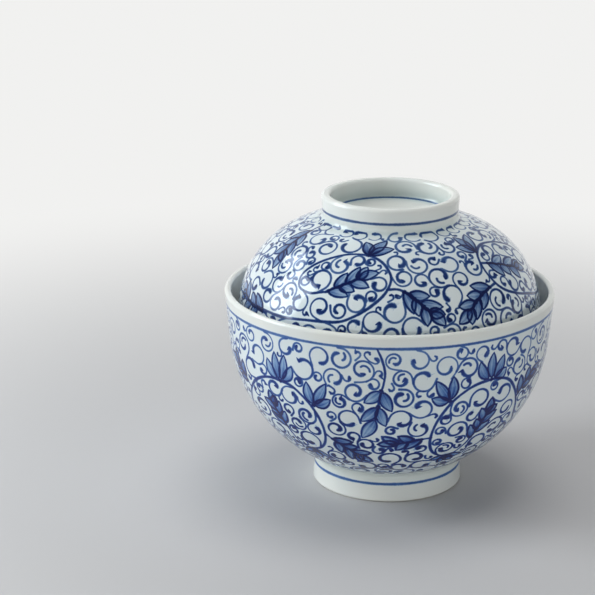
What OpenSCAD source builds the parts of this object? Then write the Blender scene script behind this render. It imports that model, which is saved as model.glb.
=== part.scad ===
// Lidded chawanmushi cup: a round porcelain cup on a foot ring, and a domed lid that sits inside its rim.
// Both are thrown shapes, turned about Z, with the table at z = 0.

/* [Cup] */
// Outer diameter over the rim
rim_d = 112; // [100:1:124]
// Height from the table to the top of the rim
cup_h = 69; // [62:0.5:76]
// Thickness of the rounded rim
rim_wall = 2.3; // [1.8:0.1:3.2]
// Outward lean of the outer wall under the rim, degrees
outer_lean = 5.4; // [3:0.1:8]
// Outward lean of the inner wall under the rim, degrees
inner_lean = 7; // [5.5:0.1:9]
// Radius of the round outer wall, seen in section
belly_r = 52.5; // [48:0.5:58]
// Thickness of the floor at the middle
floor_t = 3.8; // [3:0.1:6]

/* [Foot ring] */
// Outer diameter of the foot ring where it stands
foot_d = 51.5; // [46:0.5:58]
// Height at which the round wall leaves the foot ring
foot_h = 9.8; // [7:0.1:13]
// Thickness of the foot ring
foot_wall = 4; // [3:0.1:6]
// Lean of the foot ring's sides towards the axis, degrees
foot_lean = 4; // [0:0.5:8]
// Rounding of the foot ring's lower edges
foot_edge = 1; // [0.5:0.1:1.4]
// Depth of the recess inside the foot ring
foot_recess = 5.5; // [4.5:0.1:8]
// Rounding in the corner of that recess
foot_corner = 1.5; // [0.5:0.1:3]
// Rounding between the foot ring and the wall
foot_fillet = 2; // [1:0.1:4]

/* [Lid] */
// Depth of the lid's edge below the cup's rim
seat_depth = 11.7; // [8:0.1:15]
// Gap between the lid's edge and the cup's inner wall
seat_gap = 0.25; // [0.15:0.05:0.5]
// Height of the lid from its edge to the top of its ring
lid_h = 44.1; // [38:0.1:50]
// Thickness of the lid's rounded edge
lid_wall = 2.6; // [2:0.1:3.4]
// Lean of the lid's outer side above its edge, degrees
lid_outer_lean = 10; // [7:0.5:13]
// Lean of the lid's inner side above its edge, degrees
lid_inner_lean = 11.5; // [8:0.5:15]
// Radius of the lid's round shoulder, seen in section
shoulder_r = 32.8; // [30:0.1:36]
// Thickness of the lid's crown at the middle
crown_t = 3.6; // [3:0.1:5]

/* [Lid ring] */
// Outer diameter of the ring on top of the lid
ring_d = 46.6; // [42:0.1:52]
// Height of the ring above the dome
ring_h = 8.7; // [6.5:0.1:11]
// Thickness of the ring
ring_wall = 3.1; // [2.6:0.1:4.5]
// Lean of the ring's sides towards the axis, degrees
ring_lean = 3; // [0:0.5:6]
// Rounding of the ring's upper edges
ring_edge = 1.2; // [0.6:0.1:1.3]
// Depth of the recess inside the ring
ring_recess = 6.8; // [4.5:0.1:8]
// Rounding in the corner of that recess
ring_corner = 1.5; // [0.5:0.1:3]
// Rounding between the ring and the dome
ring_fillet = 2.5; // [1:0.1:4]

/* [Hidden] */
// Largest distance between a round outline and its straight steps
arc_tol = 0.02;
// Steps in one turn about the axis
$fn = 180;
// Pale blue-grey glaze
glaze = [0.86, 0.88, 0.88];
// Height of the lid's edge and of the ring's top above the table
lid_z = cup_h - seat_depth;
lid_top = lid_z + lid_h;

// Unit vector at an angle
function along(angle) = [cos(angle), sin(angle)];

// Points of an arc about c, from one angle to another
function arc(c, r, from, to) =
    let (step = 2 * acos(1 - arc_tol / r))
    let (count = max(2, ceil(abs(to - from) / step)))
    [for (i = [0 : count]) c + r * along(from + (to - from) * i / count)];

// Point of the line through p along u that lies at distance r from c, the near one or the far one
function at_distance(p, u, c, r, far) =
    let (w = p - c)
    let (b = w * u)
    let (reach = sqrt(b * b - w * w + r * r))
    p + ((far ? reach : -reach) - b) * u;

// Centre of the rounded rim
function rim_centre(rim_r, h, wall) = [rim_r - wall / 2, h - wall / 2];

// Centre of the round outer wall: it runs on from the leaning band under the rim,
// and comes down to the foot's side at foot_h
function wall_centre(rim_c, wall, lean, wall_r, foot_r, foot_lean, foot_h) =
    let (foot_top = [foot_r - foot_h * tan(foot_lean), foot_h])
    at_distance(rim_c + (wall / 2 - wall_r) * along(-lean), along(90 - lean), foot_top, wall_r, true);

// Height at which the leaning band under the rim turns into the round wall
function band_z(wall_c, wall_r, lean) = wall_c.y - wall_r * sin(lean);

// Distance from the axis to the inner side of the leaning band, at height z
function band_r(rim_c, wall, lean, z) = rim_c.x - wall / 2 / cos(lean) - (rim_c.y - z) * tan(lean);

// Radius of the round inner wall, which runs from the band to a level floor
function hollow_r(lean, z, floor_z) = (z - floor_z) / (1 - sin(lean));

// Section of a bowl that stands on its foot, from the axis outwards
module bowl_section(rim_r, h, wall, lean, in_lean, wall_r, floor_t,
                    foot_r, foot_h, foot_wall, foot_lean, edge, recess, corner, fillet) {
    rim_c = rim_centre(rim_r, h, wall);
    wall_c = wall_centre(rim_c, wall, lean, wall_r, foot_r, foot_lean, foot_h);
    // Foot: inner side, rounded edges, outer side and the fillet to the wall
    side = along(foot_lean);
    inner_r = foot_r - foot_wall / cos(foot_lean);
    corner_c = [inner_r - (corner + (recess - corner) * side.y) / side.x, recess - corner];
    edge_in_c = [inner_r + edge * (1 - side.y) / side.x, edge];
    edge_out_c = [foot_r - edge * (1 + side.y) / side.x, edge];
    fillet_c = at_distance([foot_r, 0] + fillet * side, along(90 + foot_lean), wall_c, wall_r + fillet, false);
    to_wall = wall_c - fillet_c;
    fillet_end = atan2(to_wall.y, to_wall.x);
    // Hollow: the inner band, the round inner wall and the level floor
    z_band = band_z(wall_c, wall_r, lean);
    in_r = hollow_r(in_lean, z_band, recess + floor_t);
    in_c = [band_r(rim_c, wall, in_lean, z_band), z_band] - in_r * along(-in_lean);
    floor_end = in_c.x > 0 ? -90 : -acos(-in_c.x / in_r);
    outline = concat(
        [[0, recess]],
        arc(corner_c, corner, 90, foot_lean),
        arc(edge_in_c, edge, 180 + foot_lean, 270),
        arc(edge_out_c, edge, -90, foot_lean),
        arc(fillet_c, fillet, 180 + foot_lean, fillet_end),
        arc(wall_c, wall_r, fillet_end - 180, -lean),
        arc(rim_c, wall / 2, -lean, 180 - in_lean),
        arc(in_c, in_r, -in_lean, floor_end),
        in_c.x > 0 ? [[0, in_c.y - in_r]] : []);
    polygon([for (p = outline) [max(0, p.x), p.y]]);
}

module cup_section() {
    bowl_section(rim_d / 2, cup_h, rim_wall, outer_lean, inner_lean, belly_r, floor_t,
                 foot_d / 2, foot_h, foot_wall, foot_lean, foot_edge, foot_recess, foot_corner, foot_fillet);
}

// Centre of the cup's rim and the heights that its inner wall is set out from
cup_rim_c = rim_centre(rim_d / 2, cup_h, rim_wall);
cup_wall_c = wall_centre(cup_rim_c, rim_wall, outer_lean, belly_r, foot_d / 2, foot_lean, foot_h);
cup_band_z = band_z(cup_wall_c, belly_r, outer_lean);
cup_in_r = hollow_r(inner_lean, cup_band_z, foot_recess + floor_t);
cup_in_c = [band_r(cup_rim_c, rim_wall, inner_lean, cup_band_z), cup_band_z] - cup_in_r * along(-inner_lean);

// The lid's rounded edge lies seat_gap from the cup's inner wall, on its leaning band or on its round part
lid_edge = lid_wall / 2;
lid_edge_z = lid_z + lid_edge;
on_band = band_r(cup_rim_c, rim_wall, inner_lean, lid_edge_z) - (lid_edge + seat_gap) / cos(inner_lean);
on_round = cup_in_c.x + sqrt(pow(cup_in_r - lid_edge - seat_gap, 2) - pow(cup_in_c.y - lid_edge_z, 2));
lid_r = lid_edge + (lid_edge_z > cup_in_c.y - cup_in_r * sin(inner_lean) ? on_band : on_round);

// The lid is a bowl upside down, with its ring as the foot
module lid_section() {
    bowl_section(lid_r, lid_h, lid_wall, lid_outer_lean, lid_inner_lean, shoulder_r, crown_t,
                 ring_d / 2, ring_h, ring_wall, ring_lean, ring_edge, ring_recess, ring_corner, ring_fillet);
}

module cup() {
    color(glaze) rotate_extrude() cup_section();
}

module lid() {
    color(glaze) translate([0, 0, lid_top]) mirror([0, 0, 1]) rotate_extrude() lid_section();
}

cup();
lid();
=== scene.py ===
import math
import random

import bpy
import numpy as np
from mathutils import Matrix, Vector
from mathutils.geometry import delaunay_2d_cdt
from mathutils.kdtree import KDTree


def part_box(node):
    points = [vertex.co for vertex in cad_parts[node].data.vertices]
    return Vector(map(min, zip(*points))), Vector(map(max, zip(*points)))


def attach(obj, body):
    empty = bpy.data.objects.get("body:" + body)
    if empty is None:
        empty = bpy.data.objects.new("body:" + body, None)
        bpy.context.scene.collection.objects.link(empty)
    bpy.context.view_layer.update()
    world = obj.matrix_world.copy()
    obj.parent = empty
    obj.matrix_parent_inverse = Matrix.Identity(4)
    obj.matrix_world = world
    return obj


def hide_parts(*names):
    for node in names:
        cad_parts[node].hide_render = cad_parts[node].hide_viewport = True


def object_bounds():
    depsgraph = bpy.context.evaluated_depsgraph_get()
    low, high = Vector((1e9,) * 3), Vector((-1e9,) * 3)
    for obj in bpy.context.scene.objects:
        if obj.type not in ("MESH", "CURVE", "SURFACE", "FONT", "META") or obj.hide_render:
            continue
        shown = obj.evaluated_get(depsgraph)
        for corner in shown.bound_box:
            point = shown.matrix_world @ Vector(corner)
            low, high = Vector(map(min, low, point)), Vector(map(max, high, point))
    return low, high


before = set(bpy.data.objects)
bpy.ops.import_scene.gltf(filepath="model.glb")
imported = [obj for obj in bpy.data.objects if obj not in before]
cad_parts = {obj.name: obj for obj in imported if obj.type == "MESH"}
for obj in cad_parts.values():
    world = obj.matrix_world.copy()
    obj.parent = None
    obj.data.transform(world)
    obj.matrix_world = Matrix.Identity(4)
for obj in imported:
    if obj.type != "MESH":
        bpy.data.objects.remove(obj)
cadLow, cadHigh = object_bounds()
mm = 0.001  # pieces and camera are set in millimetres and degrees, floor and lamps in metres
meshGrain = {  # vertices round a piece, degrees and millimetres along its section, loose points on its wall
    "around": 208, "arc": 9.0, "wall": 0.3, "turned": 2.8,
    "looseUp": 2.0, "looseRound": 2.2, "looseFrom": 1.2, "looseTo": 0.8,
}


# Turned sections, foot at zero and lip up, each row holding r, z and the outward normal

def along(deg):
    return np.array([math.cos(math.radians(deg)), math.sin(math.radians(deg))])


def meetPoint(start, heading, centre, reach, far):
    away = start - centre
    drift = away @ heading
    root = math.sqrt(drift * drift - away @ away + reach * reach)
    return start + ((root if far else -root) - drift) * heading


def arcRun(centre, radius, fromDeg, toDeg, face, step):
    sweep = abs(toDeg - fromDeg)
    count = max(int(sweep / meshGrain["arc"]), int(math.radians(sweep) * radius / step), 3) + 1
    turn = np.radians(np.linspace(fromDeg, toDeg, count))
    facing = np.stack([np.cos(turn), np.sin(turn)], 1)
    return np.hstack([centre + radius * facing, face * facing])


def fillRun(rows, step):
    out = [rows[0]]
    for a, b in zip(rows[:-1], rows[1:]):
        gap = math.hypot(b[0] - a[0], b[1] - a[1])
        count = max(1, round(gap / step))
        for k in range(1, count + 1):
            row = a + (b - a) * (k / count)
            row[2:] /= np.linalg.norm(row[2:])
            out.append(row)
    return np.array(out)


def bowlRuns(shape):
    wallStep, turnStep = meshGrain["wall"], meshGrain["turned"]
    rimR, high, wall = shape["rimR"], shape["high"], shape["wall"]
    lean, inLean, wallR = shape["lean"], shape["inLean"], shape["wallR"]
    footR, footH, footLean = shape["footR"], shape["footH"], shape["footLean"]
    edge, recess, corner, fillet = shape["edge"], shape["recess"], shape["corner"], shape["fillet"]
    rimC = np.array([rimR - wall / 2, high - wall / 2])
    footTop = np.array([footR - footH * math.tan(math.radians(footLean)), footH])
    side = along(footLean)
    wallC = meetPoint(rimC + (wall / 2 - wallR) * along(-lean), along(90 - lean), footTop, wallR, True)
    footIn = footR - shape["footWall"] / side[0]
    cornerC = np.array([footIn - (corner + (recess - corner) * side[1]) / side[0], recess - corner])
    edgeInC = np.array([footIn + edge * (1 - side[1]) / side[0], edge])
    edgeOutC = np.array([footR - edge * (1 + side[1]) / side[0], edge])
    filletC = meetPoint(
        np.array([footR, 0.0]) + fillet * side, along(90 + footLean), wallC, wallR + fillet, False
    )
    toWall = wallC - filletC
    filletEnd = math.degrees(math.atan2(toWall[1], toWall[0]))
    bandZ = wallC[1] - wallR * math.sin(math.radians(lean))
    floorZ = recess + shape["floorT"]
    inR = (bandZ - floorZ) / (1 - math.sin(math.radians(inLean)))
    bandR = rimC[0] - wall / 2 / along(inLean)[0] - (rimC[1] - bandZ) * math.tan(math.radians(inLean))
    inC = np.array([bandR, bandZ]) - inR * along(-inLean)
    under = np.vstack([
        [[0, recess, 0, -1]],
        arcRun(cornerC, corner, 90, footLean, -1, turnStep),
        arcRun(edgeInC, edge, 180 + footLean, 270, 1, turnStep),
        arcRun(edgeOutC, edge, -90, footLean, 1, turnStep),
    ])
    outer = np.vstack([
        under[-1:],
        arcRun(filletC, fillet, 180 + footLean, filletEnd, -1, wallStep),
        arcRun(wallC, wallR, filletEnd - 180, -lean, 1, wallStep),
        arcRun(rimC, wall / 2, -lean, 0, 1, wallStep)[:1],  # where the lip begins
    ])
    inner = np.vstack([
        outer[-1:],
        arcRun(rimC, wall / 2, -lean, 180 - inLean, 1, turnStep)[1:],
        arcRun(inC, inR, -inLean, -90, -1, turnStep),
        [[0, floorZ, 0, 1]],
    ])
    return {
        "under": fillRun(under, turnStep),
        "outer": fillRun(outer, wallStep),
        "inner": fillRun(inner, turnStep),
        "start": math.hypot(under[-1][0] - footR, under[-1][1]),
        "lip": math.radians(90 + lean) * wall / 2,
        "cornerC": cornerC,
        "corner": corner,
        "filletMid": filletC + fillet * along((180 + footLean + filletEnd) / 2),
    }


# The outer wall is laid flat as a ring, angles kept true, so that the brush work has no seam

def layFlat(runs, fromLip):
    rows = runs["outer"]
    step = np.hypot(np.diff(rows[:, 0]), np.diff(rows[:, 1]))
    climb = np.concatenate([[0], np.cumsum(step)]) + runs["start"]
    grow = np.concatenate([[0], np.cumsum(step * (0.5 / rows[1:, 0] + 0.5 / rows[:-1, 0]))])
    return {
        "rows": rows,
        "climb": climb,
        "grow": grow + math.log(rows[0, 0]),
        "total": climb[-1] + runs["lip"],
        "fromLip": fromLip,
    }


def climbOf(wall, down):
    return wall["total"] - down if wall["fromLip"] else down


def flatAt(wall, deg, down):
    grow = np.interp(climbOf(wall, np.asarray(down, float)), wall["climb"], wall["grow"])
    turn = np.radians(np.asarray(deg, float))
    return np.stack([np.exp(grow) * np.sin(turn), -np.exp(grow) * np.cos(turn)], -1)


def wallAt(wall, flat):
    grow = np.log(np.hypot(flat[..., 0], flat[..., 1]))
    climb = np.interp(grow, wall["grow"], wall["climb"])
    rows = np.stack([np.interp(climb, wall["climb"], wall["rows"][:, k]) for k in range(4)], -1)
    return climb, rows, np.arctan2(flat[..., 0], -flat[..., 1])


def flatPerMm(wall, flat):
    reach = np.hypot(flat[..., 0], flat[..., 1])
    return reach / np.interp(np.log(reach), wall["grow"], wall["rows"][:, 0])


def unitAt(wall, flat):
    return float(np.mean(flatPerMm(wall, flat)))


def evenRing(wall, down, gap, shift=0.0):
    radius = np.interp(climbOf(wall, down), wall["climb"], wall["rows"][:, 0])
    count = int(2 * math.pi * radius / gap)
    return flatAt(wall, (np.arange(count) + shift) * 360 / count, np.full(count, down))


# Brush strokes: a path on the flat ring, half widths along it and how much pigment it left

brushHand = {
    "bleed": 1.34,  # the soft edge of a stroke, as a share of its width
    "taperAt": (0, 0.18, 0.8, 1),  # where along a stroke its width changes
    "vine": {"step": 1.1, "tone": 1.9, "ends": 0.8, "sway": 0.1, "often": 0.37},
    "stem": {"step": 0.8, "tone": 1.8, "widths": (1.0, 0.85, 0.6)},
    "knot": {"reach": 0.3, "lean": 0.4, "tone": 2.8, "widths": (1.04, 1.3, 1.04)},
    "ring": {"slow": 0.07, "quick": 0.05, "fade": 0.1},
}
leafHand = {
    "loads": (0.8, 1.2),  # no two brush loads are the same
    "step": 0.7, "fewest": 8, "lineEnds": (0.9, 0.7), "full": 0.86, "blunt": 0.82, "bend": 0.05,
    "fanLean": 0.06, "fanGap": 0.06, "sprayEnd": 0.97, "shorter": 0.12, "tipWide": 1.05,
    "inner": ((0.2, 0.4, 0.6, 0.8), (-0.5, 0.0, 0.5)),  # points along and across that carry the wash
    "wash": {"middle": 0.38, "sides": 0.4, "base": 1.0, "tip": 0.2, "overlap": 0.3},
    "streaks": {"kinds": 4, "apart": 5.3},
}


def smoothPath(points, step, fineness=24):
    pts = np.asarray(points, float)
    ends = np.vstack([2 * pts[0] - pts[1], pts, 2 * pts[-1] - pts[-2]])
    t = np.linspace(0, 1, fineness, endpoint=False)[:, None]
    fine = []
    for a, b, c, d in zip(ends[:-3], ends[1:-2], ends[2:-1], ends[3:]):
        fine.append(0.5 * (2 * b + (c - a) * t + (2 * a - 5 * b + 4 * c - d) * t**2
                           + (3 * b - a - 3 * c + d) * t**3))
    return spacedPath(np.vstack(fine + [pts[-1:]]), step)


def spacedPath(fine, step):
    run = np.concatenate([[0], np.cumsum(np.hypot(*np.diff(fine, axis=0).T))])
    stops = np.linspace(0, run[-1], max(3, math.ceil(run[-1] / step) + 1))
    return np.stack([np.interp(stops, run, fine[:, k]) for k in range(2)], 1)


def heading(path):
    ahead = np.gradient(path, axis=0)
    return ahead / np.maximum(np.linalg.norm(ahead, axis=1, keepdims=True), 1e-9)


def turned(v, angle):
    c, s = math.cos(angle), math.sin(angle)
    return np.array([v[0] * c - v[1] * s, v[0] * s + v[1] * c])


def taper(count, start, middle, end):
    return np.interp(np.linspace(0, 1, count), brushHand["taperAt"], [start, middle, middle, end])


def addStroke(art, path, width, tone, closed=False):
    scale = flatPerMm(art["wall"], path)
    art["strokes"].append({
        "path": path,
        "half": 0.5 * brushHand["bleed"] * np.broadcast_to(width, len(path)) * scale,
        "tone": np.broadcast_to(tone, len(path)).astype(float),
        "closed": closed,
    })


def placed(art, points):
    deg, down = np.transpose(points)
    return flatAt(art["wall"], deg + art["shift"], down)


def leafSwell(t):
    return np.sin(math.pi * np.asarray(t, float) ** leafHand["full"]) ** leafHand["blunt"]


def leafSag(leaf, t):
    return 4 * t * (1 - t) * leaf["bend"]


def addLeaf(art, base, tip, width, shade, line, bend):
    length = math.hypot(*(tip - base))
    axis = (tip - base) / length
    across = np.array([-axis[1], axis[0]])
    scale = unitAt(art["wall"], (base + tip) / 2)
    leaf = {
        "base": base, "axis": axis, "across": across, "length": length, "wide": width,
        "half": width / 2 * scale, "bend": bend * length,
        "shade": shade * art["rng"].uniform(*leafHand["loads"]),
    }
    art["leaves"].append(leaf)
    t = np.linspace(0, 1, max(leafHand["fewest"], int(length / scale / leafHand["step"])))
    swell = leafSwell(t) * leaf["half"]
    start, end = leafHand["lineEnds"]
    least, more = art["plan"]["leafEdge"]
    for hand in (1, -1):
        path = base + np.outer(t * length, axis) + np.outer(leafSag(leaf, t) + hand * swell, across)
        addStroke(art, path, taper(len(t), start * line, line, end * line), least + more * leaf["shade"])
    for k in leafHand["inner"][0]:
        for lift in leafHand["inner"][1]:
            reach = leafSag(leaf, k) + lift * leafSwell(k) * leaf["half"]
            art["dots"].append(base + k * length * axis + reach * across)


def addKnot(art, at):
    knot = brushHand["knot"]
    unit = unitAt(art["wall"], at)
    path = at + np.outer([-knot["reach"], 0.0, knot["reach"]], (unit, knot["lean"] * unit))
    addStroke(art, path, knot["widths"], knot["tone"])


def addVine(art, points, width):
    vine = brushHand["vine"]
    flat = placed(art, points)
    path = smoothPath(flat, vine["step"] * unitAt(art["wall"], flat))
    sway = 1 + vine["sway"] * np.sin(np.arange(len(path)) * vine["often"])
    addStroke(art, path, width * sway * taper(len(path), vine["ends"], 1.0, vine["ends"]), vine["tone"])


def addFan(art, fan):
    (deg, down), tips = fan["base"], fan["tips"]
    for k, tip in enumerate(tips):
        foot = placed(art, (deg + fan["splay"] * (tip[0] - deg), down))
        end = placed(art, tip)
        lean = leafHand["fanLean"] * (k - (len(tips) - 1) / 2)
        foot = foot + leafHand["fanGap"] * (end - foot)
        addLeaf(art, foot, end, fan["wide"], fan["shade"], fan["line"], lean)
    addKnot(art, placed(art, fan["base"]))


def addSpray(art, spray):
    stem, (leafLong, leafWide) = brushHand["stem"], spray["leaf"]
    flat = placed(art, spray["stem"])
    scale = unitAt(art["wall"], flat)
    path = smoothPath(flat, stem["step"] * scale)
    addStroke(art, path, taper(len(path), *stem["widths"]), stem["tone"])
    ahead, spread = heading(path), math.radians(spray["spread"])
    line, first, count = spray["line"], spray["from"], 2 * spray["pairs"]
    for k in range(count):
        at = first + (leafHand["sprayEnd"] - first) * k / max(1, count - 1)
        i = min(len(path) - 1, int(at * (len(path) - 1)))
        hand = 1 if k % 2 else -1
        long = leafLong * (1.0 - leafHand["shorter"] * (k % 3)) * scale
        tip = path[i] + turned(ahead[i], hand * spread) * long
        addLeaf(art, path[i], tip, leafWide, spray["shade"], line, -leafHand["bend"] * hand)
        if hand < 0:
            addKnot(art, path[i])
    end = placed(art, spray["tip"])
    addLeaf(art, path[-1], end, leafHand["tipWide"] * leafWide, spray["shade"], line, leafHand["bend"])


def addRing(art, ring):
    hand, count = brushHand["ring"], meshGrain["around"]
    deg = np.linspace(0, 360, count, endpoint=False)
    turn = np.radians(deg)
    path = flatAt(art["wall"], deg, np.full(count, ring["down"]))
    wobble = 1 + hand["slow"] * np.sin(turn * 7 + 1.0) + hand["quick"] * np.sin(turn * 17)
    tone = ring["tone"] + hand["fade"] * np.sin(turn * 3 + 0.6)
    addStroke(art, path, ring["width"] * wobble, tone, closed=True)


# Curls fill what the vines and leaves leave free: circles are packed, then each holds one curl

curlStyles = {  # turns and core are ranges, the core being the head's place as a share of the radius
    "spiral": {"turns": (1.0, 1.25), "core": (0.3, 0.42), "power": 1.5, "lead": 0.35,
               "width": 0.9, "head": 1.6, "barbs": 0.5},
    "hook": {"turns": (0.7, 0.95), "core": (0.45, 0.65), "power": 3.0, "lead": 0.3,
             "width": 0.95, "head": 1.85, "barbs": 0.6},
    "crest": {"turns": (0.66, 0.9), "core": (0.7, 0.95), "power": 3.0, "lead": -0.8,
              "width": 0.75, "head": 1.35, "barbs": 0.4},
    "bud": {"turns": (0.4, 0.65), "core": (0.4, 0.55), "power": 2.0, "lead": 0.4,
            "width": 0.85, "head": 1.4, "barbs": 0.4},
}
curlHand = {
    "grid": 0.6, "lowRoom": 0.5, "leafRoom": 0.5, "whim": 0.5,  # how the circles are packed
    "crestDrop": 0.75, "crestRoom": 0.8, "crestLeft": 0.7, "turnBack": 0.8,
    "joins": 2.0,  # no curl starts from a smaller one
    "points": 40, "keep": 3, "step": 0.7, "tailTurn": 0.3, "tailBack": 0.25, "edgeGap": 0.5,
    "vary": (0.85, 1.15), "widthAt": (0, 0.12, 0.45, 0.72, 0.86, 0.95, 1),
    "comma": {"mouth": 0.9, "turn": (1.6, 2.4), "bow": (0.62, 0.3), "points": 8, "step": 0.6, "width": 0.85},
    "barb": {"turn": (1.7, 2.4), "long": (1.1, 1.7), "widths": (0.95, 0.85, 0.65, 0.3), "tone": 1.15},
}


def drawnSoFar(art):
    dots = np.array(art["dots"])
    spots = np.vstack([stroke["path"] for stroke in art["strokes"]] + [dots])
    girth = [stroke["half"] for stroke in art["strokes"]] + [np.full(len(dots), curlHand["leafRoom"])]
    tree = KDTree(len(spots))
    for i, (x, y) in enumerate(spots):
        tree.insert((x, y, 0), i)
    tree.balance()
    return tree, np.concatenate(girth)


def nearest(drawn, here):
    tree, girth = drawn
    point, k, far = tree.find((here[0], here[1], 0))
    return np.array(point[:2]), far, girth[k]


def freeSpots(wall, plan, drawn):
    grid = curlHand["grid"]
    spots, room = [], []
    for down in np.arange(plan["top"] + grid, plan["bottom"] - curlHand["lowRoom"], grid):
        spots.append(evenRing(wall, down, grid))
        room.append(np.full(len(spots[-1]), min(down - plan["top"], plan["bottom"] - down)))
    spots, room = np.vstack(spots), np.concatenate(room)
    scale = flatPerMm(wall, spots)
    for i, here in enumerate(spots):
        _, far, girth = nearest(drawn, here)
        room[i] = min(room[i], (far - girth) / scale[i])
    return spots, room, scale


def packCircles(wall, plan, drawn, rng):
    spots, room, scale = freeSpots(wall, plan, drawn)
    whim = curlHand["whim"] * np.array([rng.random() for _ in range(len(spots))])
    circles = []

    def claim(here, size, unit, crest):
        nonlocal room
        circles.append({"at": here, "r": size * unit, "mm": size, "unit": unit, "crest": crest})
        gap = np.hypot(spots[:, 0] - here[0], spots[:, 1] - here[1]) / scale
        room = np.minimum(room, gap - size)

    turn = 0.0
    while plan["crestSize"] and turn < 360:  # one row along the upper edge
        size = rng.uniform(*plan["crestSize"])
        here = flatAt(wall, turn, plan["top"] + curlHand["crestDrop"] * size)
        unit = unitAt(wall, here)
        _, far, girth = nearest(drawn, here)
        if far - girth > curlHand["crestRoom"] * size * unit:
            claim(here, size, unit, True)
        turn += math.degrees(2 * size * unit / math.hypot(*here))
    for least, most in plan["sizes"]:
        while room.max() >= least:
            size = min(rng.uniform(least, most), float(room.max()))
            i = int(np.argmin(np.where(room >= size, room + whim, np.inf)))
            claim(spots[i], size, float(scale[i]), False)
    return circles


def touchPoint(wall, plan, circle, earlier, drawn):
    here = circle["at"]
    outward = here / math.hypot(*here)
    best = {
        "far": (circle["down"] - plan["top"]) * circle["unit"],
        "way": outward if wall["fromLip"] else -outward,
        "other": None,
    }
    if circle["crest"]:
        return best
    point, far, girth = nearest(drawn, here)
    if far - girth < best["far"]:
        best = {"far": far, "way": (point - here) / max(far, 1e-9), "other": None}
    for other in earlier:
        way = other["at"] - here
        far = math.hypot(*way)
        if other["mm"] >= curlHand["joins"] and far - other["r"] < best["far"]:
            best = {"far": far - other["r"], "way": way / far, "other": other}
    return best


def curlStyle(plan, circle, rng):
    if circle["crest"]:
        return curlStyles["crest"]
    if circle["mm"] < plan["smallest"]:
        return curlStyles["bud"]
    return curlStyles["spiral" if rng.random() < plan["spirals"] else "hook"]


def roundFrom(here, angle, reach):
    return here + np.stack([np.cos(angle), np.sin(angle)], 1) * reach[:, None]


def curlTail(plan, circle, touch, radius):
    way, other, hand = touch["way"], touch["other"], circle["hand"]
    if other:
        reach = other["r"] - plan["air"] * circle["unit"]
        return other["at"] + turned(-way, hand * curlHand["tailTurn"]) * reach
    back = -hand * turned(way, math.pi / 2)
    return circle["at"] + way * touch["far"] + back * (curlHand["tailBack"] * radius)


def pressDown(wall, plan, fine):
    climb, _, turn = wallAt(wall, fine)
    down = np.maximum(climbOf(wall, climb), plan["top"] + curlHand["edgeGap"])
    return flatAt(wall, np.degrees(turn), down)


def addCurl(art, plan, circle, touch, rng):
    wall, here, unit, hand = art["wall"], circle["at"], circle["unit"], circle["hand"]
    radius = circle["r"] - plan["air"] * unit
    style = curlStyle(plan, circle, rng)
    turns, core = rng.uniform(*style["turns"]), rng.uniform(*style["core"])
    start = math.atan2(touch["way"][1], touch["way"][0])
    if circle["crest"]:
        start += math.pi  # crest hooks hang below the edge
    t = np.linspace(0, 1, curlHand["points"])
    angle = start + hand * (style["lead"] + 2 * math.pi * turns * t)
    fine = roundFrom(here, angle, radius * (1 - (1 - core) * t ** style["power"]))
    if circle["crest"]:
        fine = pressDown(wall, plan, fine)[::curlHand["keep"]]
    else:
        tail = curlTail(plan, circle, touch, radius)
        fine = np.vstack([tail, fine[::curlHand["keep"]], fine[-1:]])
    path = smoothPath(fine, curlHand["step"] * unit)
    share = (circle["down"] - plan["top"]) / (plan["bottom"] - plan["top"])
    brush = np.interp(share, [0, 1], plan["brush"])
    fat = brush * style["width"] * rng.uniform(*curlHand["vary"])
    head = brush * style["head"] * rng.uniform(*curlHand["vary"])
    t = np.linspace(0, 1, len(path))
    width = np.interp(t, curlHand["widthAt"], [
        0.85 * fat, 0.72 * fat, 0.72 * fat, 0.9 * fat, 0.4 * (fat + head), 0.9 * head, 0.5 * head,
    ])
    tone = np.interp(share, [0, 1], plan["tone"]) * rng.uniform(*curlHand["vary"])
    addStroke(art, path, width, tone * (0.85 + 0.6 * np.clip(t - 0.4, 0, 1)))  # heavier to the head
    if circle["mm"] > plan["commaAbove"] and rng.random() < plan["commas"]:
        addComma(art, circle, radius, angle[-1], fat, tone, rng)
    if rng.random() < style["barbs"]:
        addBarb(art, circle, path, tone, rng)


def addComma(art, circle, radius, angle, fat, tone, rng):
    comma, hand = curlHand["comma"], circle["hand"]
    mouth = angle + hand * comma["mouth"]
    sweep = np.linspace(0, hand * rng.uniform(*comma["turn"]), comma["points"]) + mouth
    fine = roundFrom(circle["at"], sweep, radius * np.linspace(*comma["bow"], comma["points"]))
    addStroke(art, spacedPath(fine, comma["step"] * circle["unit"]), comma["width"] * fat, tone)


def addBarb(art, circle, path, tone, rng):
    barb = curlHand["barb"]
    side = rng.choice((1, 1, -1)) * circle["hand"]
    way = turned(heading(path)[-1], side * rng.uniform(*barb["turn"]))
    way = way * rng.uniform(*barb["long"]) * circle["unit"]
    addStroke(art, path[-1] + np.outer(np.linspace(0, 1, 4), way), barb["widths"], barb["tone"] * tone)


def addCurls(art, plan):
    rng = random.Random(plan["seed"])
    wall, drawn = art["wall"], drawnSoFar(art)
    circles = packCircles(wall, plan, drawn, rng)
    for k, circle in enumerate(circles):
        climb, _, _ = wallAt(wall, circle["at"])
        circle["down"] = float(climbOf(wall, climb))
        touch = touchPoint(wall, plan, circle, circles[:k], drawn)
        circle["hand"] = rng.choice((-1, 1))
        if circle["crest"]:
            circle["hand"] = -1 if rng.random() < curlHand["crestLeft"] else 1
        if touch["other"] and rng.random() < curlHand["turnBack"]:
            circle["hand"] = -touch["other"]["hand"]
        addCurl(art, plan, circle, touch, rng)
    return len(circles)


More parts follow.
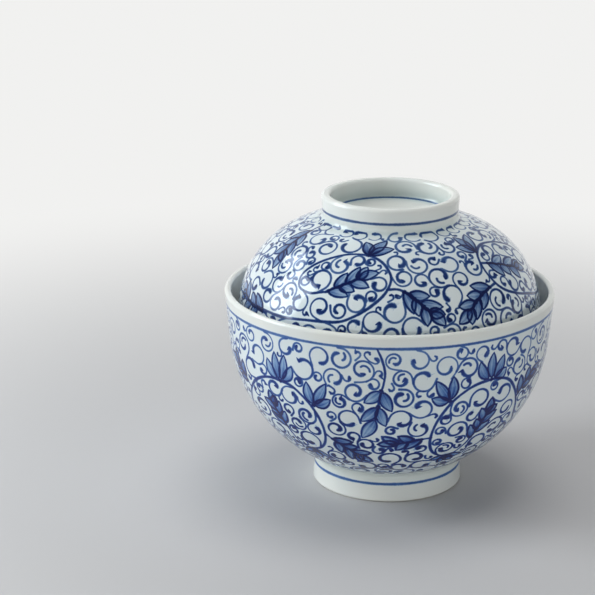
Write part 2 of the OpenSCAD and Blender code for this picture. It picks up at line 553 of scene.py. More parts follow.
# The strokes are cut into the wall's own mesh, and each vertex is told what pigment lies on it

def outlineOf(stroke):
    path, half = stroke["path"], stroke["half"]
    if stroke["closed"]:
        ahead = np.roll(path, -1, 0) - np.roll(path, 1, 0)
        ahead /= np.linalg.norm(ahead, axis=1, keepdims=True)
    else:
        ahead = heading(path)
    across = np.stack([-ahead[:, 1], ahead[:, 0]], 1)
    left, right = path + across * half[:, None], path - across * half[:, None]
    if stroke["closed"]:
        return [left, right, path]
    ends = []
    for end, sign in ((-1, 1), (0, -1)):  # round ends
        sweep = np.radians([54, 18, -18, -54])
        ends.append(path[end] + half[end] * (
            np.outer(np.sin(sweep), across[end]) * sign + np.outer(np.cos(sweep), ahead[end]) * sign
        ))
    return [np.vstack([left, ends[0], right[::-1], ends[1]]), path]


def loosePoints(wall):
    loose = []
    low, high = wall["climb"][0] + meshGrain["looseFrom"], wall["climb"][-1] - meshGrain["looseTo"]
    for k, climb in enumerate(np.arange(low, high, meshGrain["looseUp"])):
        loose.append(evenRing(wall, climbOf(wall, climb), meshGrain["looseRound"], 0.5 * (k % 2)))
    return loose


def inlay(art):
    wall, around = art["wall"], meshGrain["around"]
    points, edges, count = [], [], 0

    def chain(run, closed):
        nonlocal count
        points.append(run)
        ids = np.arange(count, count + len(run))
        edges.append(np.stack([ids[:-1], ids[1:]], 1))
        if closed:
            edges.append(np.array([[ids[-1], ids[0]]]))
        count += len(run)

    turn = np.linspace(0, 360, around, endpoint=False)
    for climb in (wall["climb"][0], wall["climb"][-1]):
        chain(flatAt(wall, turn, np.full(around, climbOf(wall, climb))), True)
    for stroke in art["strokes"]:
        for k, run in enumerate(outlineOf(stroke)):
            chain(run, stroke["closed"] or k == 0)
    flat = np.vstack(points + [np.array(art["dots"])] + loosePoints(wall))
    made = delaunay_2d_cdt([Vector(p) for p in flat], np.vstack(edges).tolist(), [], 0, 1e-5, True)
    out = np.array([(v.x, v.y) for v in made[0]])
    faces = np.array(made[2], int)
    place = {k: i for i, sources in enumerate(made[3]) for k in sources if k < 2 * around}
    foot = np.array([place[k] for k in range(around)])
    lip = np.array([place[k] for k in range(around, 2 * around)])
    isFoot = np.zeros(len(out), bool)
    isFoot[foot] = True
    faces = faces[~isFoot[faces].all(1)]  # the hole inside the foot's ring
    return out, faces, foot, lip


def pigmentAt(art, flat, crossing=0.3, most=2000000):
    ink, second = np.zeros((2, len(flat)))
    tone = np.ones(len(flat))
    for stroke in art["strokes"]:
        path, half, depth = stroke["path"], stroke["half"], stroke["tone"]
        if stroke["closed"]:
            path, half = np.vstack([path, path[:1]]), np.append(half, half[0])
            depth = np.append(depth, depth[0])
        low, high = path.min(0) - half.max(), path.max(0) + half.max()
        near = np.flatnonzero(((flat >= low) & (flat <= high)).all(1))
        if not len(near):
            continue
        for part in np.array_split(near, max(1, len(near) * len(path) // most)):
            p = flat[part]
            a, ab = path[:-1], np.diff(path, axis=0)
            size = np.maximum((ab * ab).sum(1), 1e-12)
            t = np.clip(((p[:, None] - a) * ab).sum(2) / size, 0, 1)
            gap = np.linalg.norm(p[:, None] - a - t[..., None] * ab, axis=2)
            cover = 1 - gap / (half[:-1] + t * np.diff(half))
            k = cover.argmax(1)
            pick = np.arange(len(part))
            best = np.clip(cover[pick, k], 0, 1)
            dark = depth[k] + t[pick, k] * (depth[k + 1] - depth[k])
            second[part] = np.maximum(second[part], np.minimum(best, ink[part]))
            onEdge = (ink[part] == 0) & (cover[pick, k] > -0.05)  # an edge vertex takes its stroke's tone
            tone[part] = np.where((best > ink[part]) | onEdge, dark, tone[part])
            ink[part] = np.maximum(ink[part], best)
    return ink, tone * (1 + crossing * second)


def washAt(art, flat):
    look, streaks = leafHand["wash"], leafHand["streaks"]
    wash, streak = np.zeros((2, len(flat)))
    for k, leaf in enumerate(art["leaves"]):
        reach = leaf["length"] + 2 * leaf["half"]
        near = np.flatnonzero((np.abs(flat - leaf["base"]) < reach).all(1))
        p = flat[near] - leaf["base"]
        t = p @ leaf["axis"] / leaf["length"]
        swell = leafSwell(np.clip(t, 0, 1)) * leaf["half"]
        side = p @ leaf["across"] - leafSag(leaf, t)
        inside = (t > 0) & (t < 1) & (np.abs(side) < swell * 1.03 + 1e-4)  # up to the middle of the outline
        share = np.clip(side / np.maximum(swell, 1e-6), -1.1, 1.1)
        depth = look["middle"] + look["sides"] * share**2 + look["base"] * (1 - t) ** 2 + look["tip"] * t**6
        fresh = np.where(inside, leaf["shade"] * depth, 0)
        wash[near] = np.maximum(wash[near], fresh) + look["overlap"] * np.minimum(wash[near], fresh)
        shift = streaks["apart"] * (k % streaks["kinds"])
        streak[near] = np.where(inside, share * leaf["wide"] / 2 + shift, streak[near])
    return wash, streak


# A piece is its inlaid wall plus turned rows, welded along the lip and the foot

def spin(reach, up, turn):
    return np.stack([reach * np.sin(turn), -reach * np.cos(turn), up], 1)


def turnRows(rows, first, start):
    around = meshGrain["around"]
    rings, tip = rows[:-1], rows[-1]  # the last row is the point on the axis
    turn = np.tile(np.linspace(0, 2 * math.pi, around, endpoint=False), len(rings))
    spread = np.repeat(rings, around, axis=0)
    verts = np.vstack([spin(spread[:, 0], spread[:, 1], turn), [[0, 0, tip[1]]]])
    norms = np.vstack([spin(spread[:, 2], spread[:, 3], turn), [[0, 0, tip[3]]]])
    ids = np.vstack([first, start + np.arange(len(turn)).reshape(-1, around)])
    ahead = np.roll(ids, -1, axis=1)
    quads = np.stack([ids[:-1], ahead[:-1], ahead[1:], ids[1:]], -1).reshape(-1, 4)
    fan = np.stack([ids[-1], ahead[-1], np.full(around, start + len(turn))], -1)
    row = np.append(np.repeat(np.arange(len(rings)), around), len(rings))
    return {
        "verts": verts, "norms": norms, "quads": quads, "fan": fan,
        "row": row, "rows": rows, "start": start,
    }


def faceOut(faces, verts, norms):
    a, b, c = verts[faces[:, 0]], verts[faces[:, 1]], verts[faces[:, 2]]
    inward = (np.cross(b - a, c - a) * norms[faces[:, 0]]).sum() < 0
    return faces[:, ::-1] if inward else faces


glazeLay = {"cornerPool": 1.0, "filletPool": 0.7, "poolReach": 2.8, "zoneFade": 1.5, "bareFade": 0.2}


def gapTo(verts, spot):
    return np.hypot(np.hypot(verts[:, 0], verts[:, 1]) - spot[0], verts[:, 2] - spot[1])


def lineAt(runs, verts, line):
    gap = gapTo(verts, runs["cornerC"] + runs["corner"] * along(line["turn"]))
    return np.clip(1 - gap / (0.5 * brushHand["bleed"] * line["width"]), 0, 1)


def zoneAt(art, climb):
    down, fade, curls = climbOf(art["wall"], climb), glazeLay["zoneFade"], art["plan"]["curls"]
    return np.clip(np.minimum(down - curls["top"] + fade, curls["bottom"] - down + fade) / fade, 0, 1)


def poolAt(runs, verts):
    corner = runs["cornerC"] + runs["corner"] * along(45)
    pool = np.zeros(len(verts))
    for spot, depth in ((corner, glazeLay["cornerPool"]), (runs["filletMid"], glazeLay["filletPool"])):
        pool = np.maximum(pool, depth * np.exp(-((gapTo(verts, spot) / glazeLay["poolReach"]) ** 2)))
    return pool


def paintLayers(runs, art, flat, climb, verts):
    plan = art["plan"]
    plain = np.zeros(len(verts) - len(flat))  # no brush work on underside and inside
    ink, tone = pigmentAt(art, flat)
    wash, streak = washAt(art, flat)
    corner = lineAt(runs, verts[len(flat):], plan["cornerLine"]) if plan["cornerLine"] else plain
    paint = [np.append(ink, corner), np.append(wash, plain), np.append(tone, plain + 1), poolAt(runs, verts)]
    return np.stack(paint, 1), {
        "painted": np.append(zoneAt(art, climb), plain),
        "bare": np.clip((plan["bareBelow"] - verts[:, 2]) / glazeLay["bareFade"], 0, 1),
        "streak": np.append(streak, plain),
    }


# The bake map: the wall as a front and a back strip, underside and inside as small discs above them

bakeLayout = {
    "stripWide": 0.94, "stripTall": 0.4, "front": 0.44, "back": 0.02,
    "disc": 0.07, "discUp": 0.925, "inset": 0.97, "under": 0.09, "inner": 0.27,
}


def mapWall(faces, angle, rise):
    front = (np.cos(angle[faces]).mean(1) > 0)[:, None]
    away = (angle[faces] - np.where(front, 0, math.pi) + math.pi) % (2 * math.pi) - math.pi
    across = 0.5 + bakeLayout["stripWide"] * away / math.pi
    up = np.where(front, bakeLayout["front"], bakeLayout["back"]) + bakeLayout["stripTall"] * rise[faces]
    return np.stack([across, up], -1).reshape(-1, 2)


def reachAt(spun, count):
    rows, row, start = spun["rows"], spun["row"], spun["start"]
    step = np.hypot(np.diff(rows[:, 0]), np.diff(rows[:, 1]))
    left = np.append(np.cumsum(step[::-1])[::-1], 0)
    reach = np.ones(count)  # the row shared with the wall is the outermost
    reach[start:start + len(row)] = bakeLayout["inset"] * left[row] / left[0]
    return reach


def mapDisc(faces, angle, reach, centre):
    across = centre + bakeLayout["disc"] * reach[faces] * np.sin(angle[faces])
    up = bakeLayout["discUp"] - bakeLayout["disc"] * reach[faces] * np.cos(angle[faces])
    return np.stack([across, up], -1).reshape(-1, 2)


def buildPiece(name, runs, art):
    flat, wallFaces, foot, lip = inlay(art)
    climb, rows, turn = wallAt(art["wall"], flat)
    under = turnRows(runs["under"][::-1][1:], foot, len(flat))
    inner = turnRows(runs["inner"][1:], lip, len(flat) + len(under["verts"]))
    verts = np.vstack([spin(rows[:, 0], rows[:, 1], turn), under["verts"], inner["verts"]])
    norms = np.vstack([spin(rows[:, 2], rows[:, 3], turn), under["norms"], inner["norms"]])
    paint, masks = paintLayers(runs, art, flat, climb, verts)
    if not art["plan"]["fromLip"]:  # the lid stands on its head in its own frame
        verts[:, 2] = art["plan"]["topZ"] - verts[:, 2]
        norms[:, 2] *= -1
    sheets = [faceOut(faces, verts, norms) for faces in (
        wallFaces, under["quads"], under["fan"], inner["quads"], inner["fan"],
    )]
    mesh = bpy.data.meshes.new(name)
    mesh.from_pydata((verts * mm).tolist(), [], [face for sheet in sheets for face in sheet.tolist()])
    mesh.shade_smooth()
    colours = mesh.color_attributes.new("paint", "FLOAT_COLOR", "POINT")
    colours.data.foreach_set("color", paint.astype(np.float32).ravel())
    for label, values in masks.items():
        mask = mesh.attributes.new(label, "FLOAT", "POINT")
        mask.data.foreach_set("value", values.astype(np.float32))
    angle = np.arctan2(verts[:, 0], -verts[:, 1])
    places = [mapWall(sheets[0], angle, (climb - climb.min()) / (climb.max() - climb.min()))]
    for spun, pair, side in ((under, sheets[1:3], "under"), (inner, sheets[3:5], "inner")):
        reach = reachAt(spun, len(verts))
        places += [mapDisc(sheet, angle, reach, bakeLayout[side]) for sheet in pair]
    bakeMap = mesh.uv_layers.new(name="OFBake")
    bakeMap.data.foreach_set("uv", np.vstack(places).astype(np.float32).ravel())
    mesh.normals_split_custom_set_from_vertices(norms.tolist())
    piece = bpy.data.objects.new(name, mesh)
    bpy.context.scene.collection.objects.link(piece)
    print(name, "vertices", len(verts), "strokes", len(art["strokes"]))
    return piece


def paintScroll(plan, runs):
    art = {
        "wall": layFlat(runs, plan["fromLip"]), "plan": plan, "rng": random.Random(plan["curls"]["seed"]),
        "strokes": [], "leaves": [], "dots": [],
    }
    for motif in plan["motifs"]:
        for shift in (0, 180):  # each is drawn twice, half a turn apart
            art["shift"] = shift
            addVine(art, motif["vine"], motif.get("width", plan["vineWidth"]))
            for fan in motif["fans"]:
                addFan(art, {**plan["fan"], **fan})
            for spray in motif["sprays"]:
                addSpray(art, {**plan["spray"], **spray})
    made = addCurls(art, plan["curls"])
    for ring in plan["rings"]:
        addRing(art, ring)
    print("scroll with", made, "curls and", len(art["leaves"]), "leaves")
    return art


def makePiece(name, plan):
    runs = bowlRuns(plan["shape"])
    return buildPiece(name, runs, paintScroll(plan, runs))


# Cup

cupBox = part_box("cup")
cupPlan = {  # places are (degrees from the front, millimetres down from the lip)
    "fromLip": True, "bareBelow": 0.35, "cornerLine": None,
    "stain": (0.07, 0.165, 0.46, 1),  # what one full brush load lets through
    "shape": {
        "rimR": (cupBox[1].x - cupBox[0].x) / 2 / mm, "high": (cupBox[1].z - cupBox[0].z) / mm,
        "wall": 2.3, "lean": 5.4, "inLean": 7.0, "wallR": 52.5, "floorT": 3.8,
        "footR": 25.75, "footH": 9.8, "footWall": 4.0, "footLean": 4.0, "edge": 1.0,
        "recess": 5.5, "corner": 1.5, "fillet": 2.0,
    },
    "rings": [{"down": 5.0, "width": 0.95, "tone": 1.1}, {"down": 74.5, "width": 0.95, "tone": 1.1}],
    "vineWidth": 1.05, "leafEdge": (0.5, 1.0),
    "fan": {"wide": 3.4, "splay": 0.0, "line": 0.7},  # a motif may have its own values
    "spray": {"pairs": 3, "leaf": (7.2, 3.1), "spread": 38, "from": 0.25, "line": 0.95},
    "curls": {
        # the curls darken from the lip down to the foot: partly the painting's own, partly a painted shade
        # for the darker lower belly
        "seed": 11, "top": 5.4, "bottom": 69.0, "tone": (1.2, 2.6), "brush": (0.95, 1.4), "air": 0.1,
        "sizes": [(3.3, 4.1), (2.6, 3.1), (1.8, 2.2), (1.3, 1.5)], "smallest": 1.6, "crestSize": None,
        "spirals": 0.35, "commas": 0.4, "commaAbove": 2.9,
    },
    "motifs": [
        {
            "vine": [(83.5, 51.5), (77, 51), (70, 48.8), (62, 44), (56, 38), (52, 31), (48, 25), (43, 20.5),
                     (36, 19), (28, 20), (21, 24), (16.5, 30), (14.5, 36), (14.5, 42), (17, 47.5),
                     (22.5, 51), (28.5, 50.5), (32, 46)],
            "fans": [
                {"base": (19.2, 24.5), "tips": [(12.4, 22.8), (13.7, 16.7), (19.8, 15.6)], "shade": 0.98},
                {"base": (35, 19), "tips": [(29.8, 12), (35, 9.6), (39.9, 11.2), (41.6, 16)],
                 "splay": 0.22, "shade": 0.85},
                {"base": (25, 51), "tips": [(18, 53.5), (24, 57), (31, 56), (34, 52)],
                 "wide": 2.9, "shade": 1.25, "line": 1.0},
            ],
            "sprays": [
                {"stem": [(32, 46), (34, 40), (35.5, 35), (36.3, 32)], "tip": (37, 26), "shade": 1.15},
                {"stem": [(14.4, 39.5), (10, 40), (5, 41.2), (1.5, 41.8)], "tip": (-6.5, 42.3), "pairs": 2,
                 "leaf": (7.0, 3.2), "from": 0.3, "shade": 1.2, "line": 1.1},
                {"stem": [(51, 29.5), (53.5, 26), (57, 23.2)], "tip": (64, 20), "pairs": 2,
                 "leaf": (7.2, 3.3), "spread": 40, "shade": 1.2, "line": 1.0},
            ],
        },
        {
            "vine": [(-96.5, 51.5), (-90, 51), (-83, 48.8), (-76, 44), (-70, 38), (-66, 33), (-62, 28.5),
                     (-57, 24.5), (-51, 21.8), (-45, 21), (-38, 22), (-32.5, 26), (-29, 31), (-27.5, 37),
                     (-28.5, 43), (-32.5, 48), (-39, 50.3), (-44.5, 48.5), (-46, 44)],
            "fans": [
                {"base": (-43, 21.2), "tips": [(-48.6, 14.5), (-44.8, 11.4), (-40.4, 11.6), (-37.4, 15)],
                 "wide": 3.3, "splay": 0.2, "shade": 0.75},
                {"base": (-29.7, 27.6), "tips": [(-31.6, 19.2), (-24.2, 18.8), (-22.8, 24.4)], "shade": 0.92},
                {"base": (-38, 50.3), "tips": [(-45, 53.5), (-38, 57), (-31, 55)],
                 "wide": 2.9, "shade": 1.25, "line": 1.0},
            ],
            "sprays": [
                {"stem": [(-46, 44), (-47.5, 38), (-49, 34), (-49.6, 32)], "tip": (-50, 26.5), "shade": 1.15},
                {"stem": [(-27.4, 39.5), (-24, 42.5), (-19.5, 46), (-15.5, 49)], "tip": (-9.5, 53.5),
                 "leaf": (7.0, 3.1), "spread": 40, "shade": 1.25, "line": 1.1},
                {"stem": [(-63, 29), (-66, 25.5), (-70, 23)], "tip": (-77, 20), "pairs": 2,
                 "leaf": (7.2, 3.3), "spread": 40, "shade": 1.2, "line": 1.0},
            ],
        },
        {
            "vine": [(-6.3, 5.2), (-4.8, 8.6), (-3.7, 13), (-4.1, 17), (-5.2, 21), (-6.2, 27), (-7, 31)],
            "width": 0.8,
            "fans": [
                {"base": (-4.9, 19.6), "tips": [(-10.8, 24.2), (-1.2, 27.2)], "wide": 3.7, "shade": 0.8},
                {"base": (-5.9, 25.4), "tips": [(-12.3, 31.6), (-3.3, 33.4)], "wide": 3.7, "shade": 0.78},
                {"base": (-6.8, 30.4), "tips": [(-12.4, 39.2)], "wide": 4.2, "shade": 0.78},
            ],
            "sprays": [],
        },
    ],
}
cup = makePiece("cup_porcelain", cupPlan)

# Lid

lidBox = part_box("lid")
lidPlan = {  # places are (degrees from the front, millimetres down from the ring's edge)
    "fromLip": False, "bareBelow": 0.0, "topZ": lidBox[1].z / mm,
    "cornerLine": {"turn": 55.0, "width": 0.8},  # the blue line in the corner of the ring's recess
    "stain": (0.1, 0.185, 0.405, 1),
    "shape": {
        "rimR": (lidBox[1].x - lidBox[0].x) / 2 / mm, "high": (lidBox[1].z - lidBox[0].z) / mm,
        "wall": 2.6, "lean": 10.0, "inLean": 11.5, "wallR": 32.8, "floorT": 3.6,
        "footR": 23.3, "footH": 8.7, "footWall": 3.1, "footLean": 3.0, "edge": 1.2,
        "recess": 6.8, "corner": 1.5, "fillet": 2.5,
    },
    "rings": [{"down": 5.0, "width": 0.9, "tone": 1.4}],
    "vineWidth": 0.95, "leafEdge": (0.9, 0.6),
    "fan": {"wide": 3.7, "splay": 0.0, "line": 0.7},
    "spray": {"pairs": 3, "leaf": (7.6, 3.4), "spread": 36, "from": 0.25, "line": 0.75},
    "curls": {
        "seed": 23, "top": 7.9, "bottom": 57.5, "tone": (1.3, 1.9), "brush": (1.07, 1.07), "air": 0.1,
        "sizes": [(3.0, 3.8), (2.3, 2.8), (1.5, 1.9), (1.1, 1.3)], "smallest": 1.5, "crestSize": (2.3, 3.3),
        "spirals": 0.25, "commas": 0.35, "commaAbove": 2.8,
    },
    "motifs": [
        {
            "vine": [(-69, 46.5), (-62, 46.5), (-45, 46.5), (-25, 45), (-15, 42), (-6, 36), (-2, 30),
                     (-4, 25), (-9, 21.5), (-16, 20), (-25, 20.5), (-33, 23), (-40, 27),
                     (-43.5, 31.5), (-42, 35.5), (-36, 36.8), (-29, 35.5)],
            "fans": [
                {"base": (-14, 20.2), "tips": [(-18.5, 13.4), (-4.6, 12.1), (-0.2, 16.6)], "shade": 1.0},
            ],
            "sprays": [
                {"stem": [(-29, 35.5), (-22, 32.3), (-16, 29.8)], "tip": (-7.5, 27),
                 "leaf": (7.4, 3.2), "from": 0.12, "shade": 0.95},
                {"stem": [(-3.5, 33), (2, 33.2), (8, 36.8), (13, 41)], "tip": (18.5, 45.5),
                 "leaf": (7.8, 3.5), "from": 0.35, "shade": 0.95},
                {"stem": [(-69, 8.8), (-67.6, 12), (-66.5, 15), (-66, 21), (-65.5, 26)], "tip": (-63, 33),
                 "from": 0.35, "shade": 0.9},
                {"stem": [(-55, 47.2), (-62, 47), (-69, 46.4), (-75, 45)], "tip": (-82, 42.5),
                 "spread": 38, "from": 0.15, "shade": 1.0},
            ],
        },
        {
            "vine": [(111, 46.5), (104, 46.5), (88, 46.3), (75, 45), (62, 42), (54, 39.7), (49, 37.4),
                     (46, 34.5), (44.2, 30), (45.5, 25), (50, 21.8), (56, 20.5), (62, 20.8),
                     (70, 22.5), (78, 26), (83, 30), (84, 34), (80, 37), (75, 37)],
            "fans": [
                {"base": (47.5, 22.6), "tips": [(37.8, 18.6), (43.6, 13.6), (55, 14)],
                 "wide": 3.5, "shade": 0.9},
            ],
            "sprays": [
                {"stem": [(44.5, 27), (52, 28.5), (60, 31), (66, 33)], "tip": (74, 35.5),
                 "leaf": (7.6, 3.3), "from": 0.2, "shade": 0.85},
                {"stem": [(46, 35), (40, 36.4), (34, 38.8), (30, 41.5)], "tip": (24, 45.5), "shade": 0.9},
            ],
        },
    ],
}
lid = makePiece("lid_porcelain", lidPlan)


# Shaders

def addNode(tree, kind, settings=None, **values):
    node = tree.nodes.new(kind)
    for key, value in (settings or {}).items():
        setattr(node, key, value)
    for key, value in values.items():
        node.inputs[key].default_value = value
    return node


def newGroup(name, inputs, outputs):
    group = bpy.data.node_groups.new(name, "ShaderNodeTree")
    for label, kind, value in inputs:
        socket = group.interface.new_socket(label, in_out="INPUT", socket_type=kind)
        socket.default_value = value
    for label, kind in outputs:
        group.interface.new_socket(label, in_out="OUTPUT", socket_type=kind)
    return group, group.nodes.new("NodeGroupInput"), group.nodes.new("NodeGroupOutput")


def feed(tree, socket, value):
    if isinstance(value, bpy.types.NodeSocket):
        tree.links.new(value, socket)
    else:
        socket.default_value = value


def mixColour(tree, factor, a, b, blend="MIX"):
    node = addNode(tree, "ShaderNodeMix", {"data_type": "RGBA", "blend_type": blend})
    for socket, value in ((node.inputs[0], factor), (node.inputs[6], a), (node.inputs[7], b)):
        feed(tree, socket, value)
    return node.outputs[2]


def mathNode(tree, operation, *values):
    node = addNode(tree, "ShaderNodeMath", {"operation": operation})
    for socket, value in zip(node.inputs, values):
        feed(tree, socket, value)
    return node.outputs[0]


def ramped(tree, value, low, high):
    node = addNode(tree, "ShaderNodeMapRange", {"interpolation_type": "SMOOTHSTEP"})
    for key, given in (("Value", value), ("From Min", low), ("From Max", high)):
        feed(tree, node.inputs[key], given)
    return node.outputs["Result"]


def noise(tree, place, scale):
    node = addNode(tree, "ShaderNodeTexNoise", Scale=scale, Detail=2.0)
    tree.links.new(place, node.inputs["Vector"])
    return node.outputs["Fac"]


def swayed(tree, value, sway, middle):
    return mathNode(tree, "MULTIPLY_ADD", value, sway, middle - sway / 2)


colour, number = "NodeSocketColor", "NodeSocketFloat"
noiseSpan = (0.3, 0.7)  # where noise mostly lies
cobalt = {  # noise scales are per metre, sways are shares of the pigment's depth
    "ragged": 1500.0, "raggedSway": 0.3, "load": 420.0, "loadSway": 0.6, "full": 0.7,
    "puddle": 700.0, "puddleSway": 0.6, "hairs": 1.25, "hairSway": 0.6, "deepest": 2.8,
}


def cobaltBrush():
    group, given, out = newGroup("cobalt brush", [
        ("Ground", colour, (1, 1, 1, 1)), ("Stain", colour, cupPlan["stain"]),
        ("Ink", number, 0.0), ("Wash", number, 0.0), ("Tone", number, 1.0), ("Streak", number, 0.0),
    ], [("Color", colour)])
    place = addNode(group, "ShaderNodeTexCoord").outputs["Object"]
    ragged = swayed(group, noise(group, place, cobalt["ragged"]), cobalt["raggedSway"], 0.0)
    inked = mathNode(group, "GREATER_THAN", given.outputs["Ink"], 0.001)
    ink = mathNode(group, "MULTIPLY_ADD", ragged, inked, given.outputs["Ink"])
    load = swayed(group, noise(group, place, cobalt["load"]), cobalt["loadSway"], 1.0)
    line = mathNode(group, "MULTIPLY", ramped(group, ink, 0.0, cobalt["full"]), given.outputs["Tone"])
    line = mathNode(group, "MULTIPLY", line, load)
    puddle = swayed(group, noise(group, place, cobalt["puddle"]), cobalt["puddleSway"], 1.0)
    hairs = addNode(group, "ShaderNodeTexNoise", {"noise_dimensions": "1D"}, Detail=1.0)
    feed(group, hairs.inputs["Scale"], cobalt["hairs"])
    feed(group, hairs.inputs["W"], given.outputs["Streak"])
    drag = swayed(group, ramped(group, hairs.outputs["Fac"], *noiseSpan), cobalt["hairSway"], 1.0)
    wash = mathNode(group, "MULTIPLY", puddle, drag)
    depth = mathNode(group, "MULTIPLY_ADD", given.outputs["Wash"], wash, line)
    depth = mathNode(group, "MINIMUM", depth, cobalt["deepest"])
    stain = addNode(group, "ShaderNodeSeparateColor")
    group.links.new(given.outputs["Stain"], stain.inputs["Color"])
    thinned = addNode(group, "ShaderNodeCombineColor")  # each channel fades with the depth of pigment
    for channel in ("Red", "Green", "Blue"):
        left = mathNode(group, "POWER", stain.outputs[channel], depth)
        group.links.new(left, thinned.inputs[channel])
    stained = mixColour(group, 1.0, given.outputs["Ground"], thinned.outputs["Color"], "MULTIPLY")
    group.links.new(stained, out.inputs["Color"])
    return group


glaze = {  # noise scales are per metre
    "colours": {
        "Body": (0.77, 0.79, 0.75, 1), "Cool": (0.69, 0.77, 0.80, 1),
        "Pooled": (0.58, 0.67, 0.65, 1), "Biscuit": (0.62, 0.57, 0.50, 1),
    },
    "broad": 45.0, "mild": 160.0, "fine": 1100.0, "drift": 0.3, "cooled": 0.75, "pooled": 0.8,
    "rough": 0.05, "roughSway": 0.08, "bareRough": 0.55,
    "broadSwell": 3.0, "fineSwell": 0.05, "bump": 0.12, "bumpDepth": 0.0006, "ior": 1.45,
}


def glazeSkin():
    group, given, out = newGroup("glaze skin", [
        *[(key, colour, value) for key, value in glaze["colours"].items()],
        ("Pool", number, 0.0), ("Painted", number, 0.0), ("Bare", number, 0.0),
    ], [("Color", colour), ("Roughness", number), ("Height", number)])
    place = addNode(group, "ShaderNodeTexCoord").outputs["Object"]
    broad, mild, fine = (noise(group, place, glaze[key]) for key in ("broad", "mild", "fine"))
    drift = mathNode(group, "MULTIPLY", ramped(group, broad, *noiseSpan), glaze["drift"])
    cool = mathNode(group, "MULTIPLY_ADD", given.outputs["Painted"], glaze["cooled"], drift)
    body = mixColour(group, cool, given.outputs["Body"], given.outputs["Cool"])
    pooled = mathNode(group, "MULTIPLY", given.outputs["Pool"], glaze["pooled"])
    body = mixColour(group, pooled, body, given.outputs["Pooled"])
    body = mixColour(group, given.outputs["Bare"], body, given.outputs["Biscuit"])
    group.links.new(body, out.inputs["Color"])
    gloss = mathNode(group, "MULTIPLY_ADD", mild, glaze["roughSway"], glaze["rough"])
    rough = mathNode(group, "MULTIPLY_ADD", given.outputs["Bare"], glaze["bareRough"], gloss)
    group.links.new(rough, out.inputs["Roughness"])
    swell = mathNode(group, "MULTIPLY_ADD", broad, glaze["broadSwell"], mild)
    swell = mathNode(group, "MULTIPLY_ADD", fine, glaze["fineSwell"], swell)
    group.links.new(swell, out.inputs["Height"])
    return group


brushGroup, skinGroup = cobaltBrush(), glazeSkin()


def glazeMaterial(name, stain):
    material = bpy.data.materials.new(name)
    material.use_nodes = True
    tree = material.node_tree
    shader = tree.nodes["Principled BSDF"]
    skin = addNode(tree, "ShaderNodeGroup", {"node_tree": skinGroup}, **glaze["colours"])
    brush = addNode(tree, "ShaderNodeGroup", {"node_tree": brushGroup}, Stain=stain)
    paint = addNode(tree, "ShaderNodeAttribute", {"attribute_name": "paint"})
    parts = addNode(tree, "ShaderNodeSeparateColor")
    tree.links.new(paint.outputs["Color"], parts.inputs["Color"])
    for socket, key in (("Red", "Ink"), ("Green", "Wash"), ("Blue", "Tone")):
        tree.links.new(parts.outputs[socket], brush.inputs[key])
    tree.links.new(paint.outputs["Alpha"], skin.inputs["Pool"])
    masks = {"painted": skin.inputs["Painted"], "bare": skin.inputs["Bare"], "streak": brush.inputs["Streak"]}
    for label, socket in masks.items():
        mask = addNode(tree, "ShaderNodeAttribute", {"attribute_name": label})
        tree.links.new(mask.outputs["Fac"], socket)
    bump = addNode(tree, "ShaderNodeBump", Strength=glaze["bump"], Distance=glaze["bumpDepth"])
    tree.links.new(skin.outputs["Height"], bump.inputs["Height"])
    tree.links.new(skin.outputs["Color"], brush.inputs["Ground"])
    tree.links.new(brush.outputs["Color"], shader.inputs["Base Color"])
    tree.links.new(skin.outputs["Roughness"], shader.inputs["Roughness"])
    tree.links.new(bump.outputs["Normal"], shader.inputs["Normal"])
    shader.inputs["IOR"].default_value = glaze["ior"]
    return material


for piece, body, slot, plan in ((cup, "cup", "cup_glaze", cupPlan), (lid, "lid", "lid_glaze", lidPlan)):
    piece.data.materials.append(glazeMaterial(body + " glaze", plan["stain"]))
    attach(piece, body)
    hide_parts(body)
print("pieces dressed")


# Stage, light and camera

stageLook = {
    "floor": 6.0, "floorColour": (0.56, 0.56, 0.565, 1), "floorRough": 0.7, "fade": (0.1, 0.4),
    "backdrop": (0.88, 0.88, 0.87, 1), "ambient": 0.18, "behind": (0.3, 0.95), "horizon": (0.22, 0.08),
}


def seenDirectly(tree):
    sight = addNode(tree, "ShaderNodeLightPath")
    seen = mathNode(tree, "MAXIMUM", sight.outputs["Is Camera Ray"], sight.outputs["Is Glossy Ray"])
    return mathNode(tree, "MAXIMUM", seen, sight.outputs["Is Transmission Ray"])


def showBlend(tree, factor, a, b, output):
    blend = addNode(tree, "ShaderNodeMixShader")
    for socket, value in zip(blend.inputs, (factor, a.outputs[0], b.outputs[0])):
        tree.links.new(value, socket)
    tree.links.new(blend.outputs[0], tree.nodes[output].inputs["Surface"])


def stageMaterial():
    material = bpy.data.materials.new("pale floor")
    material.use_nodes = True
    tree = material.node_tree
    shader = tree.nodes["Principled BSDF"]
    shader.inputs["Base Color"].default_value = stageLook["floorColour"]
    shader.inputs["Roughness"].default_value = stageLook["floorRough"]
    place = addNode(tree, "ShaderNodeTexCoord")
    reach = addNode(tree, "ShaderNodeVectorMath", {"operation": "LENGTH"})
    tree.links.new(place.outputs["Object"], reach.inputs[0])
    fade = ramped(tree, reach.outputs["Value"], *stageLook["fade"])
    glow = addNode(tree, "ShaderNodeEmission", Color=stageLook["backdrop"], Strength=1.0)
    showBlend(tree, mathNode(tree, "MULTIPLY", fade, seenDirectly(tree)), shader, glow, "Material Output")
    return material


bpy.ops.mesh.primitive_plane_add(size=stageLook["floor"], location=(0, 0, cadLow.z))
floor = bpy.context.object
floor.name = "floor"
floor.data.materials.append(stageMaterial())

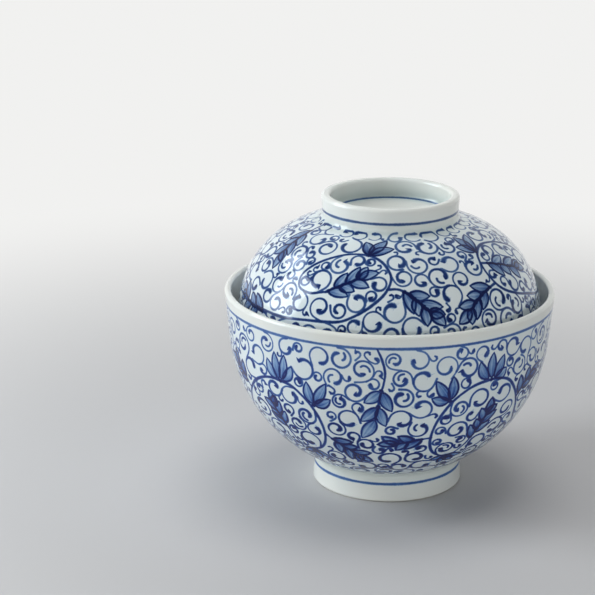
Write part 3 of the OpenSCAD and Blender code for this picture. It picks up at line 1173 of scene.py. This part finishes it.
world = bpy.data.worlds.new("studio")
bpy.context.scene.world = world
world.use_nodes = True
worldTree = world.node_tree
ambient = worldTree.nodes["Background"]
ambient.inputs["Color"].default_value = (1.0, 1.0, 1.0, 1)
ambient.inputs["Strength"].default_value = stageLook["ambient"]
backdrop = addNode(worldTree, "ShaderNodeBackground", Color=stageLook["backdrop"], Strength=1.0)
sky = addNode(worldTree, "ShaderNodeSeparateXYZ")
worldTree.links.new(addNode(worldTree, "ShaderNodeTexCoord").outputs["Generated"], sky.inputs[0])
behind = ramped(worldTree, sky.outputs["Y"], *stageLook["behind"])
horizon = ramped(worldTree, sky.outputs["Z"], *stageLook["horizon"])
showBlend(worldTree, mathNode(worldTree, "MAXIMUM", behind, horizon), ambient, backdrop, "World Output")

lamps = {  # some only light the surfaces, some only show in the glaze
    "window": {"from": (-0.9, 0.04, 0.43), "far": 0.9, "size": (0.38, 0.56), "power": 5.4,
               "tint": (0.93, 0.97, 1.0), "lights": True, "mirrored": False},
    "pane": {"from": (-0.9, 0.05, 0.42), "far": 0.9, "size": (0.46, 0.62), "power": 7.2,
             "tint": (0.8, 0.91, 1.0), "lights": False, "mirrored": True},
    "upper pane": {"from": (-0.65, 0.42, 0.63), "far": 0.9, "size": (0.26, 0.22), "power": 1.3,
                   "tint": (0.8, 0.91, 1.0), "lights": False, "mirrored": True},
    "fill": {"from": (-0.3, -0.93, 0.08), "far": 1.2, "size": (0.7, 0.16), "power": 2.15,
             "tint": (1.0, 1.0, 0.98), "lights": True, "mirrored": True},
    "overhead": {"from": (0.1, 0.1, 1.0), "far": 1.1, "size": (0.6, 0.6), "power": 4.3,
                 "tint": (1.0, 1.0, 1.0), "lights": True, "mirrored": False},
    "bounce": {"from": (0.8, -0.58, 0.12), "far": 1.2, "size": (0.4, 0.3), "power": 1.3,
               "tint": (0.96, 0.98, 1.0), "lights": True, "mirrored": False},
}
aim = (cadLow + cadHigh) / 2
for name, lamp in lamps.items():
    light = bpy.data.lights.new(name, "AREA")
    light.shape = "RECTANGLE"
    light.size, light.size_y = lamp["size"]
    light.energy = lamp["power"]
    light.color = lamp["tint"]
    holder = bpy.data.objects.new(name, light)
    way = Vector(lamp["from"]).normalized()
    holder.location = aim + way * lamp["far"]
    holder.rotation_euler = way.to_track_quat("Z", "Y").to_euler()
    holder.visible_diffuse = lamp["lights"]
    holder.visible_glossy = lamp["mirrored"]
    bpy.context.scene.collection.objects.link(holder)

cameraView = {"lens": 121.0, "sensor": 36.0, "down": 17.05, "far": 681.5, "target": (-31.2, 0.0, 64.6)}
lens = bpy.data.cameras.new("camera")
lens.lens = cameraView["lens"]
lens.sensor_width = cameraView["sensor"]
camera = bpy.data.objects.new("camera", lens)
tilt = math.radians(cameraView["down"])
ahead = Vector((0, math.cos(tilt), -math.sin(tilt)))
camera.location = (Vector(cameraView["target"]) - ahead * cameraView["far"]) * mm
camera.rotation_euler = ahead.to_track_quat("-Z", "Y").to_euler()
bpy.context.scene.collection.objects.link(camera)
bpy.context.scene.camera = camera
bpy.context.scene.view_settings.view_transform = "Standard"
print("stage set")
